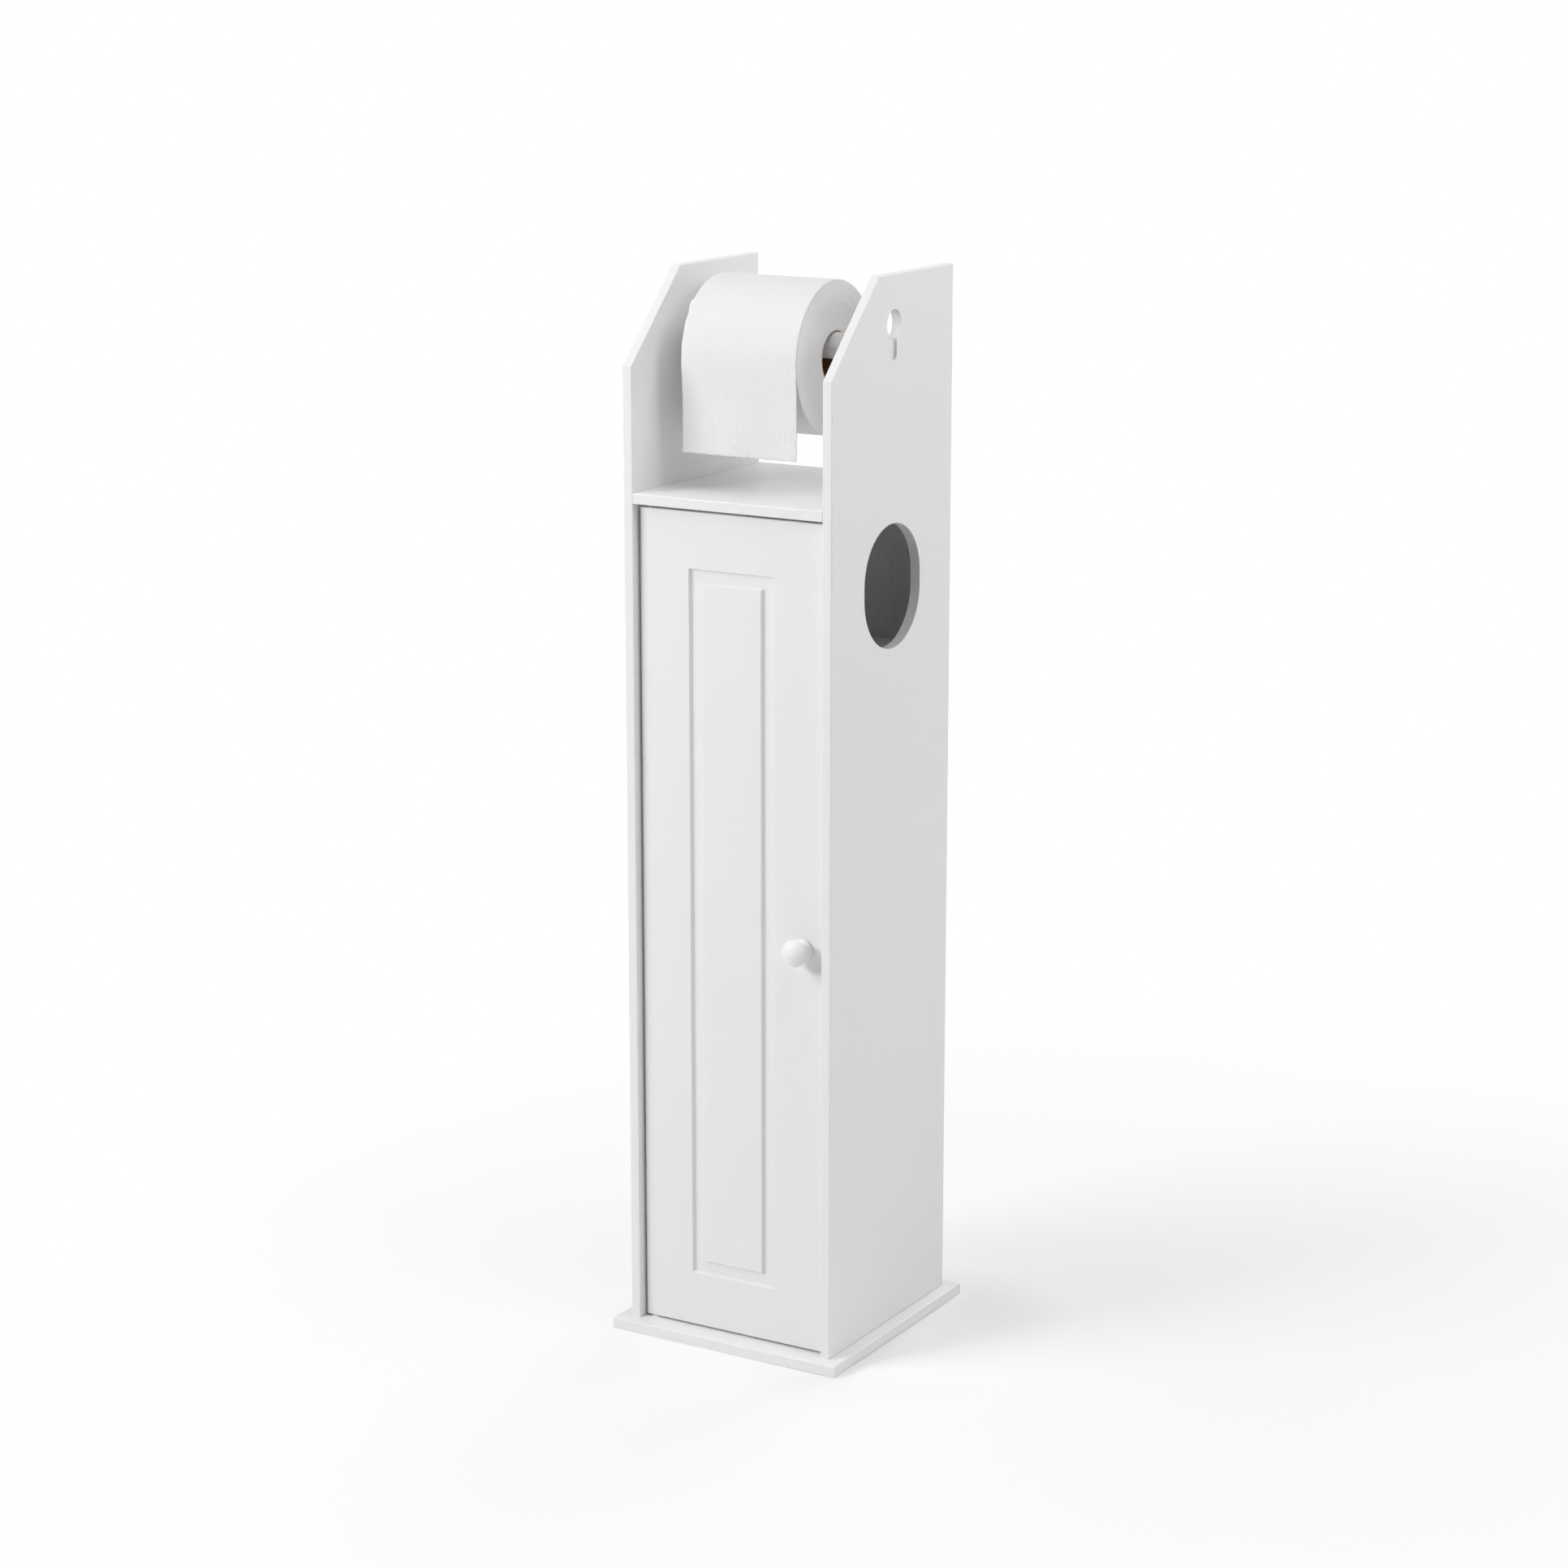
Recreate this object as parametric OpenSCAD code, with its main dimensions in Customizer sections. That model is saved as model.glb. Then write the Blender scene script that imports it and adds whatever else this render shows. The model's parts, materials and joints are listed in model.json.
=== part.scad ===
// Freestanding toilet roll storage cabinet.
// A tall narrow box of thin painted boards on an overhanging base. The upper bay is open and
// carries a roll on a rod that drops into keyhole slots. The cupboard below has a routed door
// on pivot pins and an oval opening in the right side.
// Origin: centre of the base's underside. +X to the right, +Y to the back, +Z up.

/* [Cabinet] */
// Width across the outer faces of the side panels
body_w = 170; // [160:1:220]
// Depth of the side panels
body_d = 174; // [168:1:220]
// Overall height above the floor
body_h = 785; // [740:1:900]
// Thickness of the side panels
side_t = 7.5; // [7:0.5:12]
// Thickness of the base plate
base_t = 8.5; // [8:0.5:16]
// How far the base plate stands out past the side panels all round
base_overhang = 10; // [6:1:20]
// Thickness of the top shelf
shelf_t = 7.7; // [7.5:0.1:12]
// Height of the side panels above the top shelf
bay_h = 155.4; // [150:0.1:200]
// How far the sloping front corner of a side panel runs back, and down
corner_cut = 66; // [40:1:70]
// Radius of the eased edges of the boards
edge_r = 0.8; // [0.4:0.1:1.5]

/* [Back panel and inner shelf] */
// Thickness of the back panel
back_t = 3; // [2.5:0.5:4]
// Distance from the back panel to the back edges of the side panels
back_inset = 5; // [4:0.5:12]
// Depth of the grooves that hold the back panel
back_groove = 3; // [2:0.5:4]
// Height of the small bay between the inner shelf and the top shelf
inner_bay_h = 113.4; // [110:0.1:200]
// Thickness of the inner shelf
inner_shelf_t = 7.5; // [6:0.5:12]
// Distance from the door to the front edge of the inner shelf
inner_shelf_setback = 10; // [9:1:40]
// Play on each side of the inner shelf
inner_shelf_play = 0.5; // [0.3:0.1:1]
// Diameter of the pegs under the inner shelf
peg_d = 5; // [4:0.5:6]
// How deep a peg sits in its side panel
peg_seat = 5; // [4:0.5:5.5]
// How far a peg stands out under the inner shelf
peg_reach = 8; // [6:1:12]

/* [Side openings] */
// Width of the oval opening in the right side
oval_w = 81; // [60:1:86]
// Height of the oval opening
oval_h = 90; // [86:1:94]
// Distance from the top shelf down to the middle of the oval opening
oval_drop = 57.4; // [50:0.1:60]
// Diameter of the round part of a keyhole
key_d = 21; // [20:0.5:24]
// Width of the slot of a keyhole
slot_w = 8; // [6:0.5:10]
// Distance from the top of the side panels down to the axis of the resting rod
rod_drop = 52.7; // [44:0.1:56]
// How far the rod lifts from its slots to the round parts of the keyholes
key_rise = 17.7; // [16:0.1:21]

/* [Door] */
// Thickness of the door
door_t = 7.5; // [7:0.5:10]
// How far the door lies behind the front edges of the side panels
door_recess = 6.5; // [4:0.5:8]
// Gap on each side of the door
door_gap_side = 1.8; // [1.6:0.1:3]
// Gap between the door and the top shelf
door_gap_top = 2.6; // [2:0.1:4]
// Gap between the door and the base plate
door_gap_bottom = 1.5; // [1.3:0.1:3]
// Width of the flat border outside the routed groove
stile_w = 40.5; // [36:0.5:46]
// Width of the routed groove at the face
groove_w = 11; // [8:0.5:16]
// Depth of the routed groove
groove_depth = 2.5; // [1.5:0.1:3]
// How far each wall of the groove leans in over its depth
groove_lean = 1.5; // [0.5:0.1:2.5]

/* [Door pivots] */
// Distance from the door's hinge edge to the pivot axis
pivot_inset = 6.7; // [6:0.1:10]
// Diameter of the pivot pins
pivot_d = 3; // [2.5:0.5:3.5]
// How deep a pivot pin is pressed into the door
pivot_in_door = 18; // [12:1:30]
// How deep a pivot pin reaches into its bush
pivot_in_bush = 5.5; // [4:0.5:5.5]
// Length of the sleeve of a pivot bush
bush_len = 6; // [6:0.5:7]
// Wall of a pivot bush
bush_wall = 1; // [0.8:0.1:1.5]
// Diameter of the lower bush's flange and of the washer under the door
flange_d = 7.2; // [6.8:0.1:7.6]
// Thickness of the lower bush's flange
flange_t = 0.8; // [0.5:0.1:0.9]

/* [Knob] */
// Distance from the door's free edge to the knob's axis
knob_inset = 16.5; // [14:0.5:24]
// Distance from the middle of the door's height down to the knob's axis
knob_drop = 2.1; // [0:0.1:20]
// Diameter of the knob's foot
knob_foot_d = 16; // [14:0.5:20]
// Thickness of the knob's foot
knob_foot_t = 2.2; // [1.5:0.1:3]
// Radius of the knob's waist
knob_waist_r = 5.4; // [5:0.1:7]
// Distance from the door to the underside of the knob's cap
knob_neck_h = 11.2; // [9:0.1:14]
// Radius of the knob's round cap
knob_cap_r = 9.8; // [9:0.1:12]
// Height of the knob's cap above its underside
knob_cap_h = 7.3; // [6:0.1:10]
// Radius of the rounded rim of the knob's cap
knob_rim_r = 1.8; // [1:0.1:2.4]
// Diameter of the knob's screw
knob_screw_d = 4; // [3:0.5:5]
// How far the knob's screw reaches into the knob
knob_screw_grip = 9; // [6:0.5:12]

/* [Magnetic catch] */
// Distance from the door's free edge to the middle of the catch
catch_inset = 36; // [30:1:60]
// Width of the catch's housing
catch_w = 30; // [28:1:40]
// Depth of the catch's housing
catch_d = 14; // [13:0.5:20]
// Height of the catch's housing
catch_h = 13; // [12.5:0.5:14]
// Length of each screw ear of the housing
ear_w = 8; // [7:0.5:12]
// Thickness of the screw ears
ear_t = 2.5; // [2:0.5:4]
// Width of the magnet and of its pole plates
magnet_w = 24; // [18:1:26]
// Thickness of the magnet
magnet_t = 4; // [3:0.5:5]
// Thickness of a pole plate
pole_t = 1; // [0.8:0.1:1.2]
// How far the pole plates stand out of the housing
pole_proud = 0.4; // [0.2:0.1:0.8]
// Height of the strike plate on the door
strike_h = 9; // [8:0.5:10]
// Thickness of the strike plate
strike_t = 1; // [0.8:0.1:1.5]

/* [Screws and dowels] */
// Diameter of the screws that hold the base plate
base_screw_d = 3; // [2.5:0.5:4]
// Length of those screws
base_screw_len = 30; // [24:1:40]
// Head diameter of those screws
base_screw_head_d = 6; // [5.5:0.5:7]
// Diameter of the catch's screws
catch_screw_d = 2.5; // [2:0.5:3]
// How far a catch screw reaches into the top shelf
catch_screw_grip = 5.5; // [4:0.5:6.5]
// Diameter of the dowels between the side panels and the top shelf
dowel_d = 4; // [3:0.5:5]
// How deep a dowel sits in its side panel
dowel_in_side = 5; // [3:0.5:5.5]
// How deep a dowel sits in the end of the top shelf
dowel_in_shelf = 12; // [8:1:20]

/* [Rod and roll] */
// Diameter of the rod
rod_d = 19; // [16:0.5:19.5]
// Play between each end of the rod's body and its side panel
rod_play = 0.5; // [0.3:0.1:1]
// Length of the flat tongue at each end of the rod
tongue_len = 6; // [3:0.5:7]
// Height of the flat tongue, which keeps the rod from turning
tongue_h = 14.8; // [12:0.2:17]
// Inner diameter of the cardboard core
core_d = 37.5; // [30:0.5:45]
// Wall of the cardboard core
core_t = 1; // [0.6:0.1:2]
// Outer diameter of the paper roll
roll_d = 110; // [90:1:114]
// Width of the paper roll
roll_w = 94; // [90:1:110]
// How far the middle of the roll lies to the left of the cabinet's middle
roll_shift = 9; // [0:1:12]
// Thickness given to the hanging sheet
sheet_t = 0.5; // [0.3:0.1:0.8]
// How far the sheet hangs down below the middle of the roll
sheet_drop = 67.8; // [40:0.1:85]
// How far the sheet still lies on the roll behind its front, in degrees
sheet_wrap = 110; // [60:5:120]

/* [Hidden] */

// Named clearances
run_fit = 0.05;        // a pin turning in its bush, per side
slot_fit = 0.08;       // the rod's tongue in its slot, per side
rest_gap = 0.3;        // between curved faces that rest on each other
thrust_gap = 0.2;      // between the door and the washer that carries it
groove_play = 0.1;     // around the back panel in its grooves
screw_relief = 0.2;    // around a screw in its clearance hole, per side
head_sink = 0.2;       // a countersunk head below its surface
cut_over = 1;          // how far a cutting shape runs past the face that it cuts

// Proportions of the fasteners and fittings
head_cone = 0.55;      // height of a countersunk head as a share of its shank's diameter
pan_head_h = 0.5;      // height of a pan head as a share of its shank's diameter
pan_head_d = 2;        // width of a pan head as a share of its shank's diameter
drive_w = 0.22;        // width of a cross recess as a share of the head's diameter
drive_len = 0.62;      // length of a cross recess as a share of the head's diameter
drive_depth = 0.55;    // depth of a cross recess as a share of the head's height
screw_tip = 0.8;       // length of a screw's point as a share of its diameter
dowel_y = [0.18, 0.8];             // dowels along the depth of the top shelf, as shares
base_screw_y = [0.13, 0.5, 0.87];  // base screws along the depth of a side panel, as shares
peg_y = [0.22, 0.82];              // pegs along the depth of the inner shelf, as shares
peg_collar = 1;        // thickness of a peg's collar, and how far it stands out
rod_end_r = 1.2;       // rounding of the shoulders of the rod
waist_scoop = 0.6;     // radius of the scoop round the knob's waist as a share of its height
catch_wall = 3;        // thickness of the housing behind the magnet
strike_drop = 0.9;     // from the door's top edge down to the strike plate

board_colour = [0.93, 0.93, 0.94];
steel_colour = [0.72, 0.73, 0.75];
nylon_colour = [0.9, 0.9, 0.88];
beech_colour = [0.82, 0.68, 0.48];
ferrite_colour = [0.2, 0.2, 0.21];
card_colour = [0.62, 0.47, 0.34];
paper_colour = [0.96, 0.96, 0.96];

// Faces of the carcass
side_in = body_w / 2 - side_t;
front_y = -body_d / 2;
back_y = body_d / 2;
shelf_z = body_h - bay_h - shelf_t;
cupboard_h = shelf_z - base_t;
back_face_y = back_y - back_inset - back_t;
inner_shelf_top_z = shelf_z - inner_bay_h;
inner_shelf_z = inner_shelf_top_z - inner_shelf_t;

// Door
door_w = 2 * (side_in - door_gap_side);
door_h = cupboard_h - door_gap_top - door_gap_bottom;
door_z = base_t + door_gap_bottom;
door_top_z = door_z + door_h;
door_front_y = front_y + door_recess;
door_back_y = door_front_y + door_t;
pivot_x = -door_w / 2 + pivot_inset;
pivot_y = door_front_y + door_t / 2;
bush_d = pivot_d + 2 * run_fit + 2 * bush_wall;
washer_t = door_gap_bottom - flange_t - thrust_gap;
knob_x = door_w / 2 - knob_inset;
knob_z = door_z + door_h / 2 - knob_drop;

// Inner shelf
inner_shelf_y = door_back_y + inner_shelf_setback;
inner_shelf_d = back_face_y - groove_play - inner_shelf_y;
peg_z = inner_shelf_z - peg_d / 2;

// Catch, from its pole plates outwards
catch_x = door_w / 2 - catch_inset;
pole_front_y = door_back_y + strike_t + rest_gap;
catch_front_y = pole_front_y + pole_proud;
stack_h = magnet_t + 2 * pole_t;
stack_z = door_top_z - strike_drop - strike_h / 2;
pole_d = catch_d - catch_wall;
ear_x = catch_w / 2 + ear_w / 2;
ear_y = catch_front_y + catch_d / 2;
strike_w = magnet_w;
strike_head_d = catch_screw_d * pan_head_d;
strike_screw_grip = door_t - groove_depth;

// Rod and roll
rod_z = body_h - rod_drop;
key_z = rod_z + key_rise;
tongue_w = slot_w - 2 * slot_fit;
slot_z = rod_z - (tongue_h - tongue_w) / 2;
rod_half = side_in - rod_play;
roll_z = rod_z + rod_d / 2 + rest_gap - core_d / 2;
core_outer_d = core_d + 2 * core_t;
roll_x0 = -roll_shift - roll_w / 2;
sheet_in_r = roll_d / 2 + rest_gap;
sheet_out_r = sheet_in_r + sheet_t;

$fn = 64;
far = 2 * body_h;

// ---------- shared shapes ----------

// A convex board outline, thick along +Z from 0, with every rim eased. Its points run
// anticlockwise. Each side of the outline is a slab with two rounded edges, and the board is
// what all the slabs share.
module eased_board(outline, t) {
    count = len(outline);
    intersection_for (i = [0 : count - 1]) {
        a = outline[i];
        b = outline[(i + 1) % count];
        translate([a[0], a[1], 0])
            rotate([0, 0, atan2(b[1] - a[1], b[0] - a[0])])
                rotate([90, 0, 90])
                    translate([0, 0, -far / 2])
                        linear_extrude(height = far) eased_slab(t);
    }
}

// Section of one slab: x is inward from the board's side, y is its thickness.
module eased_slab(t) {
    translate([edge_r, 0]) square([far, t]);
    translate([0, edge_r]) square([far, t - 2 * edge_r]);
    for (y = [edge_r, t - edge_r])
        translate([edge_r, y]) circle(r = edge_r);
}

function rect(x0, y0, x1, y1) = [[x0, y0], [x1, y0], [x1, y1], [x0, y1]];

// A board that lies flat
module flat_board(x0, y0, x1, y1, z, t) {
    translate([0, 0, z]) eased_board(rect(x0, y0, x1, y1), t);
}

module cylinder_x(d, x0, x1) {
    translate([x0, 0, 0]) rotate([0, 90, 0]) cylinder(d = d, h = x1 - x0);
}

// An upright obround, extruded along +X from 0
module obround_x(w, h, t) {
    for (s = [-1, 1])
        translate([0, 0, s * (h - w) / 2]) cylinder_x(w, 0, t);
    translate([0, -w / 2, -(h - w) / 2]) cube([t, w, h - w]);
}

// A countersunk screw along +Z, head face at z = 0
module countersunk_screw(d, head_d, len) {
    cone_h = d * head_cone;
    difference() {
        union() {
            cylinder(d1 = head_d, d2 = d, h = cone_h);
            cylinder(d = d, h = len - d * screw_tip);
            translate([0, 0, len - d * screw_tip]) cylinder(d1 = d, d2 = d / 4, h = d * screw_tip);
        }
        cross_recess(head_d, cone_h * drive_depth);
    }
}

// A pan head screw along +Z, underside of the head at z = 0
module pan_screw(d, len) {
    head_h = d * pan_head_h;
    head_d = d * pan_head_d;
    difference() {
        union() {
            translate([0, 0, -head_h]) cylinder(d = head_d, h = head_h);
            cylinder(d = d, h = len);
        }
        translate([0, 0, -head_h]) cross_recess(head_d, head_h * drive_depth);
    }
}

module cross_recess(head_d, depth) {
    long = head_d * drive_len;
    wide = head_d * drive_w;
    for (a = [0, 90])
        rotate([0, 0, a])
            translate([-long / 2, -wide / 2, -cut_over]) cube([long, wide, depth + cut_over]);
}

// ---------- carcass ----------

module base_plate() color(board_colour) {
    x = body_w / 2 + base_overhang;
    y = body_d / 2 + base_overhang;
    difference() {
        flat_board(-x, -y, x, y, 0, base_t);
        at_base_screws() {
            translate([0, 0, -cut_over])
                cylinder(d = base_screw_head_d, h = cut_over + head_sink);
            translate([0, 0, head_sink])
                cylinder(d1 = base_screw_head_d, d2 = base_screw_d, h = base_screw_d * head_cone);
            cylinder(d = base_screw_d + 2 * screw_relief, h = base_t + cut_over);
        }
        translate([pivot_x, pivot_y, base_t - bush_len]) cylinder(d = bush_d, h = bush_len + cut_over);
    }
}

module at_base_screws() {
    for (s = [-1, 1], f = base_screw_y)
        translate([s * (body_w - side_t) / 2, front_y + f * body_d, 0]) children();
}

module base_screws() color(steel_colour) {
    at_base_screws()
        translate([0, 0, head_sink]) countersunk_screw(base_screw_d, base_screw_head_d, base_screw_len);
}

// The outline of a side panel, seen from its right: x is the cabinet's y, y is its z
function side_outline() = [
    [front_y, base_t],
    [back_y, base_t],
    [back_y, body_h],
    [front_y + corner_cut, body_h],
    [front_y, body_h - corner_cut]
];

// A side panel from x = 0 to x = side_t. The grooved face is at x = 0 on the right panel and
// at x = side_t on the left one.
module side_blank(inner_x) {
    difference() {
        rotate([90, 0, 90]) eased_board(side_outline(), side_t);
        translate([0, 0, key_z]) cylinder_x(key_d, -cut_over, side_t + cut_over);
        translate([-cut_over, 0, slot_z]) cylinder_x(slot_w, 0, side_t + 2 * cut_over);
        translate([-cut_over, -slot_w / 2, slot_z])
            cube([side_t + 2 * cut_over, slot_w, key_z - slot_z]);
        translate([inner_x - back_groove, back_face_y - groove_play, base_t - cut_over])
            cube([2 * back_groove, back_t + 2 * groove_play, cupboard_h + cut_over]);
        for (f = dowel_y)
            translate([inner_x, front_y + f * body_d, shelf_z + shelf_t / 2])
                cylinder_x(dowel_d, -dowel_in_side, dowel_in_side);
        for (f = peg_y)
            translate([inner_x, inner_shelf_y + f * inner_shelf_d, peg_z])
                cylinder_x(peg_d, -peg_seat, peg_seat);
        for (f = base_screw_y)
            translate([side_t / 2, front_y + f * body_d, base_t - cut_over])
                cylinder(d = base_screw_d, h = base_screw_len - base_t + cut_over + head_sink);
    }
}

module left_side_panel() color(board_colour) {
    translate([-body_w / 2, 0, 0]) side_blank(side_t);
}

module right_side_panel() color(board_colour) {
    difference() {
        translate([side_in, 0, 0]) side_blank(0);
        translate([side_in - cut_over, 0, shelf_z - oval_drop])
            obround_x(oval_w, oval_h, side_t + 2 * cut_over);
    }
}

module top_shelf() color(board_colour) {
    difference() {
        flat_board(-side_in, front_y, side_in, back_y, shelf_z, shelf_t);
        for (s = [-1, 1], f = dowel_y)
            translate([s * side_in, front_y + f * body_d, shelf_z + shelf_t / 2])
                cylinder_x(dowel_d, -dowel_in_shelf, dowel_in_shelf);
        translate([pivot_x, pivot_y, shelf_z - cut_over]) cylinder(d = bush_d, h = bush_len + cut_over);
        at_catch_screws() translate([0, 0, -cut_over])
            cylinder(d = catch_screw_d, h = catch_screw_grip + cut_over);
    }
}

module shelf_dowels() color(beech_colour) {
    for (s = [-1, 1], f = dowel_y)
        translate([s * side_in, front_y + f * body_d, shelf_z + shelf_t / 2])
            cylinder_x(dowel_d, s > 0 ? -dowel_in_shelf : -dowel_in_side,
                       s > 0 ? dowel_in_side : dowel_in_shelf);
}

module back_panel() color(board_colour) {
    x = side_in + back_groove - groove_play;
    translate([-x, back_face_y, base_t]) cube([2 * x, back_t, cupboard_h - groove_play]);
}

module inner_shelf() color(board_colour) {
    x = side_in - inner_shelf_play;
    flat_board(-x, inner_shelf_y, x, inner_shelf_y + inner_shelf_d, inner_shelf_z, inner_shelf_t);
}

module shelf_pegs() color(steel_colour) {
    for (s = [-1, 1], f = peg_y)
        translate([s * side_in, inner_shelf_y + f * inner_shelf_d, peg_z])
            rotate([0, 0, s > 0 ? 180 : 0]) peg();
}

// A peg along +X, with its seat in the panel behind x = 0
module peg() {
    cylinder_x(peg_d, -peg_seat, peg_reach);
    intersection() {
        cylinder_x(peg_d + 2 * peg_collar, 0, peg_collar);
        translate([-cut_over, -peg_d, -peg_d]) cube([peg_collar + 2 * cut_over, 2 * peg_d, peg_d + peg_d / 2]);
    }
}

// ---------- door pivots ----------

module at_lower_pivot() { translate([pivot_x, pivot_y, base_t]) children(); }
module at_upper_pivot() { translate([pivot_x, pivot_y, shelf_z]) mirror([0, 0, 1]) children(); }

// A ring round a pivot pin, from z0 up
module pivot_ring(d, z0, h) {
    translate([0, 0, z0]) difference() {
        cylinder(d = d, h = h);
        translate([0, 0, -cut_over]) cylinder(d = pivot_d + 2 * run_fit, h = h + 2 * cut_over);
    }
}

module upper_pivot_bush() color(nylon_colour) at_upper_pivot() pivot_ring(bush_d, -bush_len, bush_len);

// The lower bush has a flange on the base plate, and the washer lies on the flange
module lower_pivot_bush() color(nylon_colour) at_lower_pivot() {
    pivot_ring(bush_d, -bush_len, bush_len + flange_t);
    pivot_ring(flange_d, 0, flange_t);
}

module lower_pivot_washer() color(steel_colour)
    at_lower_pivot() pivot_ring(flange_d, flange_t, washer_t);

module pivot_pin(gap) {
    translate([0, 0, -pivot_in_bush]) cylinder(d = pivot_d, h = pivot_in_bush + gap + pivot_in_door);
}

module upper_pivot_pin() color(nylon_colour) at_upper_pivot() pivot_pin(door_gap_top);
module lower_pivot_pin() color(nylon_colour) at_lower_pivot() pivot_pin(door_gap_bottom);

// ---------- door ----------

// A block centred on x and z whose rectangular face narrows evenly with depth. The face is at
// y = 0 and the bottom at y = depth, and it runs on straight in front of the face.
module draft_block(w, h, depth, lean) {
    intersection() {
        translate([0, 0, -far / 2]) linear_extrude(height = far) draft_section(w, depth, lean);
        rotate([0, 90, 0]) translate([0, 0, -far / 2])
            linear_extrude(height = far) draft_section(h, depth, lean);
    }
}

module draft_section(w, depth, lean) {
    polygon([[-w / 2, -cut_over], [w / 2, -cut_over], [w / 2, 0], [w / 2 - lean, depth],
             [-w / 2 + lean, depth], [-w / 2, 0]]);
}

// The routed groove as a solid: an outer block that narrows with depth, less an inner one that
// widens, so that all eight walls lean and meet in mitred corners
module groove_cutter() {
    outer_w = door_w - 2 * stile_w;
    outer_h = door_h - 2 * stile_w;
    difference() {
        draft_block(outer_w, outer_h, groove_depth, groove_lean);
        draft_block(outer_w - 2 * groove_w, outer_h - 2 * groove_w, groove_depth, -groove_lean);
        translate([-outer_w / 2 + groove_w, -2 * cut_over, -outer_h / 2 + groove_w])
            cube([outer_w - 2 * groove_w, 2 * cut_over, outer_h - 2 * groove_w]);
    }
}

module door_panel() color(board_colour) {
    difference() {
        translate([0, door_back_y, 0]) rotate([90, 0, 0])
            eased_board(rect(-door_w / 2, door_z, door_w / 2, door_top_z), door_t);
        translate([0, door_front_y, door_z + door_h / 2]) groove_cutter();
        at_upper_pivot() translate([0, 0, door_gap_top]) cylinder(d = pivot_d, h = pivot_in_door);
        at_lower_pivot() translate([0, 0, door_gap_bottom]) cylinder(d = pivot_d, h = pivot_in_door);
        translate([knob_x, door_front_y - cut_over, knob_z]) rotate([-90, 0, 0])
            cylinder(d = knob_screw_d + 2 * screw_relief, h = door_t + 2 * cut_over);
        at_strike() rotate([90, 0, 0]) cylinder(d = catch_screw_d, h = strike_screw_grip);
    }
}

// The knob, turned about +Z with its foot at z = 0
module knob_profile() {
    waist_h = knob_neck_h - knob_foot_t;
    scoop_r = waist_h * waist_scoop;
    foot_r = knob_foot_d / 2;
    square([foot_r - knob_foot_t / 2, knob_foot_t]);
    intersection() {
        translate([foot_r - knob_foot_t / 2, knob_foot_t / 2]) circle(d = knob_foot_t);
        square([foot_r, knob_foot_t]);
    }
    difference() {
        translate([0, knob_foot_t / 2]) square([foot_r, knob_neck_h - knob_foot_t / 2]);
        translate([knob_waist_r + scoop_r, knob_foot_t + waist_h / 2]) circle(r = scoop_r);
        translate([foot_r - knob_foot_t / 2, 0]) square([foot_r, knob_foot_t]);
    }
    knob_cap_section();
}

// The cap: a rounded rim that runs without a step into a shallow dome
module knob_cap_section() {
    rim_x = knob_cap_r - knob_rim_r;
    rim_z = knob_neck_h + knob_rim_r;
    rise = knob_cap_h - 2 * knob_rim_r;
    dome_drop = (rim_x * rim_x - rise * rise) / (2 * rise);
    dome_r = dome_drop + rise + knob_rim_r;
    meet_z = rim_z + knob_rim_r * dome_drop / (dome_r - knob_rim_r);
    translate([0, knob_neck_h]) square([rim_x, 2 * knob_rim_r]);
    translate([rim_x, rim_z]) circle(r = knob_rim_r);
    intersection() {
        translate([0, rim_z - dome_drop]) circle(r = dome_r);
        translate([0, meet_z]) square([knob_cap_r, knob_cap_h]);
    }
}

module door_knob() color(board_colour) {
    translate([knob_x, door_front_y, knob_z]) rotate([90, 0, 0]) difference() {
        rotate_extrude() knob_profile();
        translate([0, 0, -cut_over]) cylinder(d = knob_screw_d, h = knob_screw_grip + cut_over);
    }
}

module knob_screw() color(steel_colour) {
    translate([knob_x, door_back_y, knob_z]) rotate([90, 0, 0])
        pan_screw(knob_screw_d, door_t + knob_screw_grip);
}

// ---------- magnetic catch ----------

module at_catch_screws() {
    for (s = [-1, 1])
        translate([catch_x + s * ear_x, ear_y, shelf_z]) children();
}

module at_strike() { translate([catch_x, door_back_y, stack_z]) children(); }

module catch_housing() color(nylon_colour) {
    full_w = catch_w + 2 * ear_w;
    difference() {
        union() {
            translate([catch_x - catch_w / 2, catch_front_y, shelf_z - catch_h])
                cube([catch_w, catch_d, catch_h]);
            translate([catch_x - full_w / 2, catch_front_y, shelf_z - ear_t])
                cube([full_w, catch_d, ear_t]);
        }
        translate([catch_x - magnet_w / 2, catch_front_y - cut_over, stack_z - stack_h / 2])
            cube([magnet_w, pole_d - pole_proud + cut_over, stack_h]);
        at_catch_screws() translate([0, 0, -ear_t - cut_over])
            cylinder(d = catch_screw_d + 2 * screw_relief, h = ear_t + 2 * cut_over);
    }
}

module catch_magnet() color(ferrite_colour) {
    translate([catch_x - magnet_w / 2, catch_front_y, stack_z - magnet_t / 2])
        cube([magnet_w, pole_d - pole_proud, magnet_t]);
}

module catch_pole_plates() color(steel_colour) {
    for (z = [stack_z - stack_h / 2, stack_z + magnet_t / 2])
        translate([catch_x - magnet_w / 2, pole_front_y, z]) cube([magnet_w, pole_d, pole_t]);
}

module catch_screws() color(steel_colour) {
    at_catch_screws() translate([0, 0, -ear_t]) pan_screw(catch_screw_d, ear_t + catch_screw_grip);
}

module strike_plate() color(steel_colour) {
    at_strike() difference() {
        translate([-strike_w / 2, 0, -strike_h / 2]) cube([strike_w, strike_t, strike_h]);
        translate([0, strike_t, 0]) rotate([90, 0, 0])
            cylinder(d1 = strike_head_d, d2 = catch_screw_d, h = strike_t);
    }
}

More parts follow.
